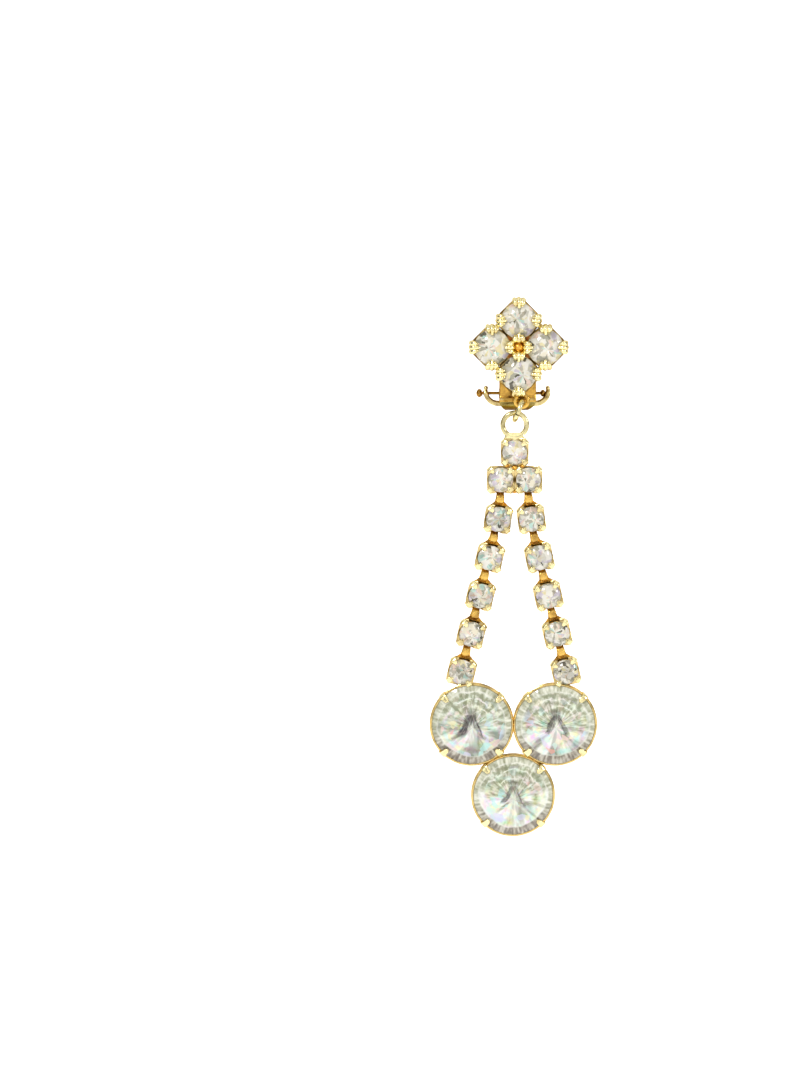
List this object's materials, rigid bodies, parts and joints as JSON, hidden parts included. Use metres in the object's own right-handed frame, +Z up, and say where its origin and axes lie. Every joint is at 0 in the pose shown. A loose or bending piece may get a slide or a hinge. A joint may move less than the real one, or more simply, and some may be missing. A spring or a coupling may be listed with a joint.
{
  "type": "chandelier clip earring",
  "caption": "Clip-on chandelier earring: a rhombus of claw-set stones, two splayed cup chains and a soldered trio of large pointed round stones in gold-tone settings.",
  "frame": {"origin": "middle of the flat back of the clip's base strap, where the ear lobe is gripped, at the height of the centre of the stone cluster", "axes": "+Z up, the stones face -Y, the ear lobe and the clip's lever lie towards +Y, +X to the right seen from the front"},
  "size_m": [0.0257, 0.0102, 0.0829],
  "materials": {
    "setting_gold": "bright pale yellow gold plating, polished, deeper amber in the recesses",
    "clip_gold": "bright gold plating on stamped sheet, lightly brushed",
    "link_gold": "deep amber gold plating, slightly worn",
    "wire_gold": "polished round gold-plated wire",
    "small_stone": "clear cut glass with silver foil back and faint iridescence",
    "large_stone": "clear cut glass, foiled, with pale green, blue and pink flashes"
  },
  "bodies": {
    "clip": {"cluster_frame": "setting_gold", "cluster_stone_top": "small_stone", "cluster_stone_left": "small_stone", "cluster_stone_right": "small_stone", "cluster_stone_bottom": "small_stone"},
    "lever": {"clip_lever": "clip_gold"},
    "ring": {"jump_ring": "wire_gold"},
    "drop": {"head_frame": "setting_gold", "head_stone_top": "small_stone", "head_stone_left": "small_stone", "head_stone_right": "small_stone", "left_stone_1": "small_stone", "left_link_1": "link_gold", "left_cup_1": "setting_gold", "left_stone_2": "small_stone", "left_link_2": "link_gold", "left_cup_2": "setting_gold", "left_stone_3": "small_stone", "left_link_3": "link_gold", "left_cup_3": "setting_gold", "left_stone_4": "small_stone", "left_link_4": "link_gold", "left_cup_4": "setting_gold", "left_stone_5": "small_stone", "left_link_5": "link_gold", "right_stone_1": "small_stone", "right_link_1": "link_gold", "right_cup_1": "setting_gold", "right_stone_2": "small_stone", "right_link_2": "link_gold", "right_cup_2": "setting_gold", "right_stone_3": "small_stone", "right_link_3": "link_gold", "right_cup_3": "setting_gold", "right_stone_4": "small_stone", "right_link_4": "link_gold", "right_cup_4": "setting_gold", "right_stone_5": "small_stone", "right_link_5": "link_gold", "trio_frame": "setting_gold", "trio_stone_left": "large_stone", "trio_stone_right": "large_stone", "trio_stone_bottom": "large_stone"}
  },
  "joints": [
    {"name": "lever_hinge", "type": "hinge", "parent": "clip", "child": "lever", "pos_m": [0, 0.0026, -0.00734], "axis": [-1, 0, 0], "range_deg": [0, 85]},
    {"name": "ring_swing", "type": "hinge", "parent": "clip", "child": "ring", "pos_m": [0.00053, -0.0032, -0.00903], "axis": [1, 0, 0], "range_deg": [-35, 35]},
    {"name": "drop_swing", "type": "hinge", "parent": "ring", "child": "drop", "pos_m": [-0.00053, -0.0032, -0.01099], "axis": [0, 1, 0], "range_deg": [-30, 30]}
  ]
}
